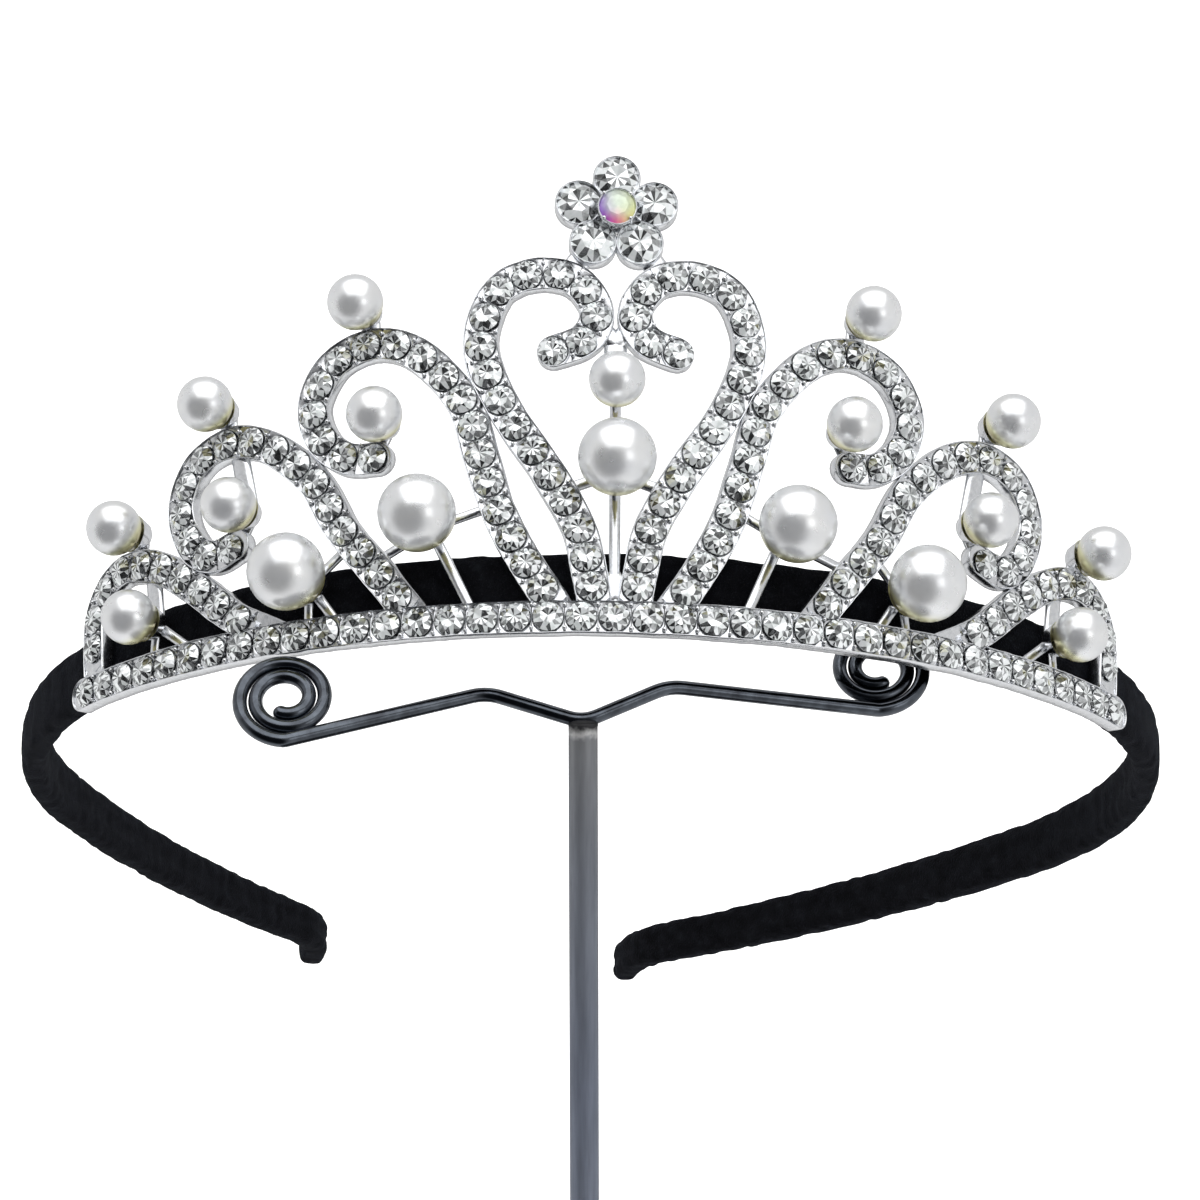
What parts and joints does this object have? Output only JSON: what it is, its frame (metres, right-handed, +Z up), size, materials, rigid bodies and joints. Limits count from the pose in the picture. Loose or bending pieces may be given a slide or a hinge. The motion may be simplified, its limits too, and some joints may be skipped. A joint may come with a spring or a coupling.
{
  "type": "mini crown headband on a wire display stand",
  "caption": "Tiara with curled arches of clear stones and faux pearls on a black velvet headband, resting on a bent wire stand with a round foot.",
  "frame": {"origin": "middle of the foot's underside, on the post's axis", "axes": "+Z up, the crown faces -Y, +X to the viewer's right, the headband's back points along +Y"},
  "size_m": [0.126, 0.1729, 0.1261],
  "materials": {
    "silver_cast": "bright plated casting",
    "clear_stone": "foil backed cut glass",
    "iridescent_stone": "coated cut glass, violet and yellow",
    "faux_pearl": "warm white pearl coat",
    "black_velvet": "short pile velvet, padded",
    "gunmetal_steel": "dark polished wire, grey post",
    "dark_steel": "satin dark plate"
  },
  "bodies": {
    "root": {"tiara_frame": "silver_cast", "base_stones": "clear_stone", "heart_stones": "clear_stone", "arch_stones_left": "clear_stone", "arch_stones_right": "clear_stone", "flower_centre": "iridescent_stone", "velvet_band": "black_velvet", "stand": "gunmetal_steel", "foot": "dark_steel", "flower_stone_1": "clear_stone", "flower_stone_2": "clear_stone", "flower_stone_3": "clear_stone", "flower_stone_4": "clear_stone", "flower_stone_5": "clear_stone", "pearl_1": "faux_pearl", "pearl_2": "faux_pearl", "pearl_3": "faux_pearl", "pearl_4": "faux_pearl", "pearl_5": "faux_pearl", "pearl_6": "faux_pearl", "pearl_7": "faux_pearl", "pearl_8": "faux_pearl", "pearl_9": "faux_pearl", "pearl_10": "faux_pearl", "pearl_11": "faux_pearl", "pearl_12": "faux_pearl", "pearl_13": "faux_pearl", "pearl_14": "faux_pearl", "pearl_15": "faux_pearl", "pearl_16": "faux_pearl", "pearl_17": "faux_pearl", "pearl_18": "faux_pearl"}
  },
  "joints": []
}
